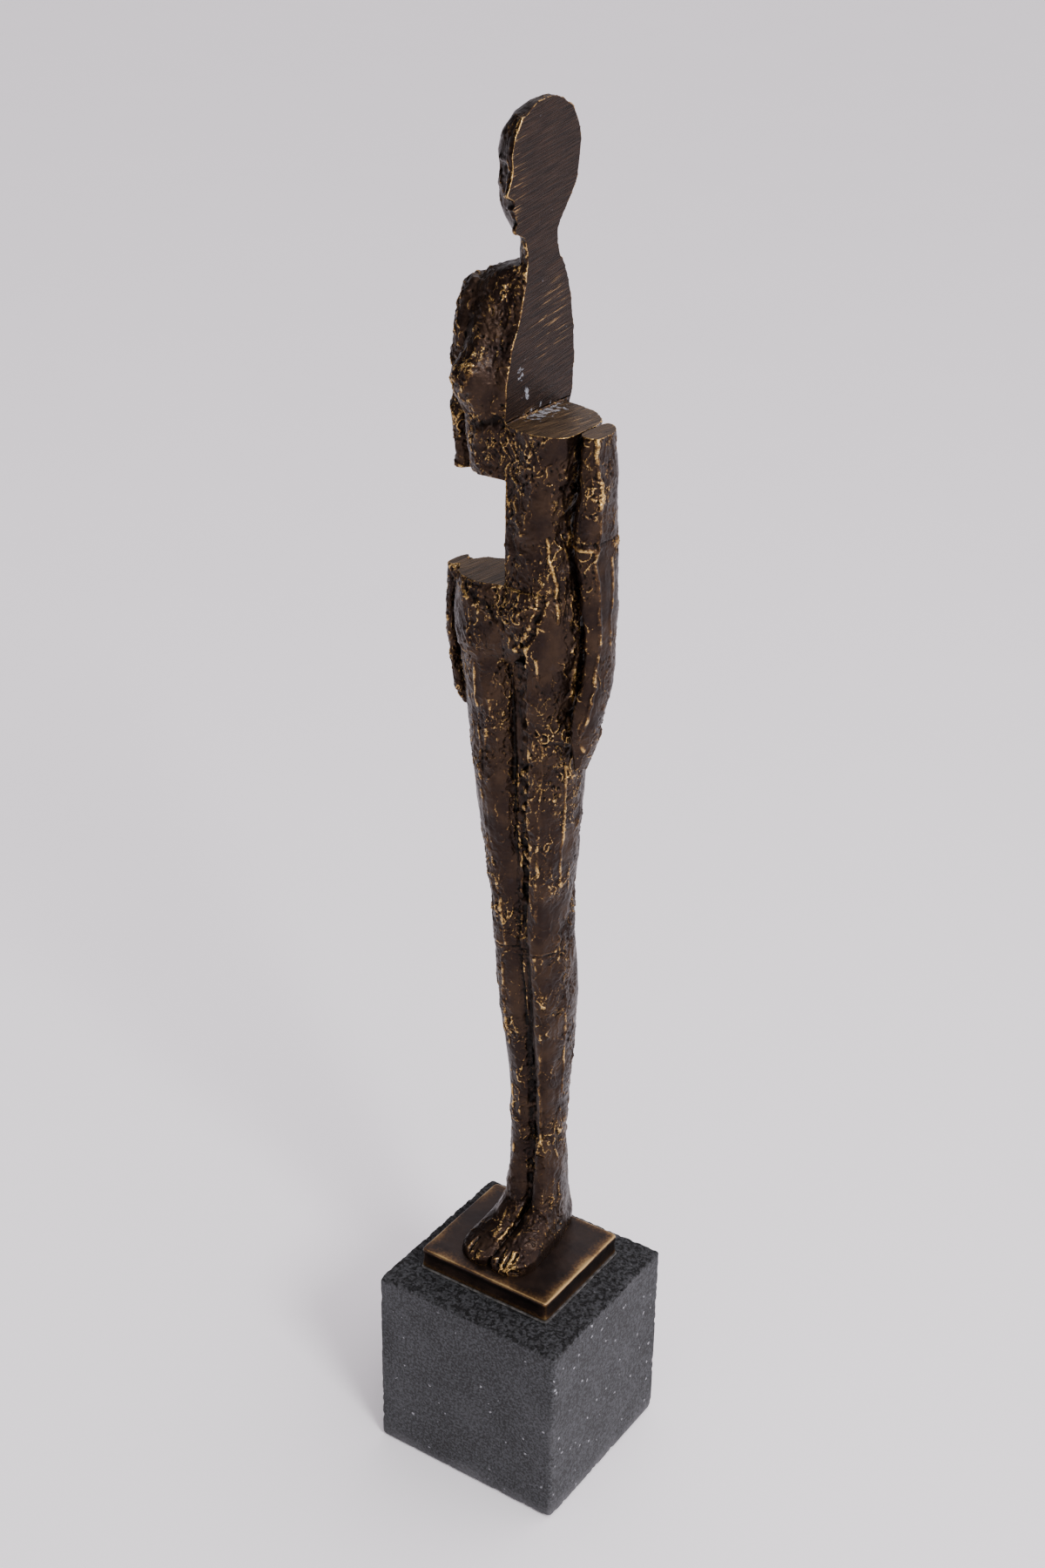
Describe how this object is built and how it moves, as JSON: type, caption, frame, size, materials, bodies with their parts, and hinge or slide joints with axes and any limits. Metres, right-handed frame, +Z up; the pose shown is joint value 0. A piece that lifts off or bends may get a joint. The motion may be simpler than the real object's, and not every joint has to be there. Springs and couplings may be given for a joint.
{
  "type": "display plinth with fixed bronze figure",
  "caption": "Square bluestone display plinth with a coved bronze foot plate, carrying a slim standing cast bronze figure sawn into offset halves and pinned together.",
  "frame": {"origin": "middle of the underside of the base felt, under the middle of the stone block", "axes": "+Z up along the figure, the figure faces -Y, its left side is +X"},
  "size_m": [0.1, 0.094, 0.6409],
  "materials": {
    "bronze": "cast bronze, dark brown patina rubbed back to yellow metal on raised edges, satin",
    "bluestone": "sawn dark grey bluestone, fine grained and matt with sparse pale flecks",
    "adhesive": "hardened grey bedding adhesive, matt",
    "felt": "black pressed felt",
    "steel": "plain turned stainless steel"
  },
  "bodies": {
    "root": {"foot_plate": "bronze", "head_right": "bronze", "chest_right": "bronze", "right_upper_arm": "bronze", "waist_left": "bronze", "left_upper_arm": "bronze", "left_forearm": "bronze", "pelvis": "bronze", "right_hand": "bronze", "right_thigh": "bronze", "right_lower_leg": "bronze", "right_foot": "bronze", "left_thigh": "bronze", "left_lower_leg": "bronze", "left_foot": "bronze", "anchor_stud": "steel", "anchor_washer": "steel", "anchor_nut": "steel", "neck_pin": "steel", "right_shoulder_pin": "steel", "middle_pin_upper": "steel", "middle_pin_lower": "steel", "left_shoulder_pin": "steel", "left_elbow_pin": "steel", "waist_pin": "steel", "right_hand_pin": "steel", "right_hip_pin": "steel", "left_hip_pin": "steel", "right_knee_pin": "steel", "left_knee_pin": "steel", "right_foot_bolt": "steel", "left_foot_bolt": "steel", "stone_block": "bluestone", "bedding_layer": "adhesive", "base_felt": "felt"}
  },
  "joints": []
}
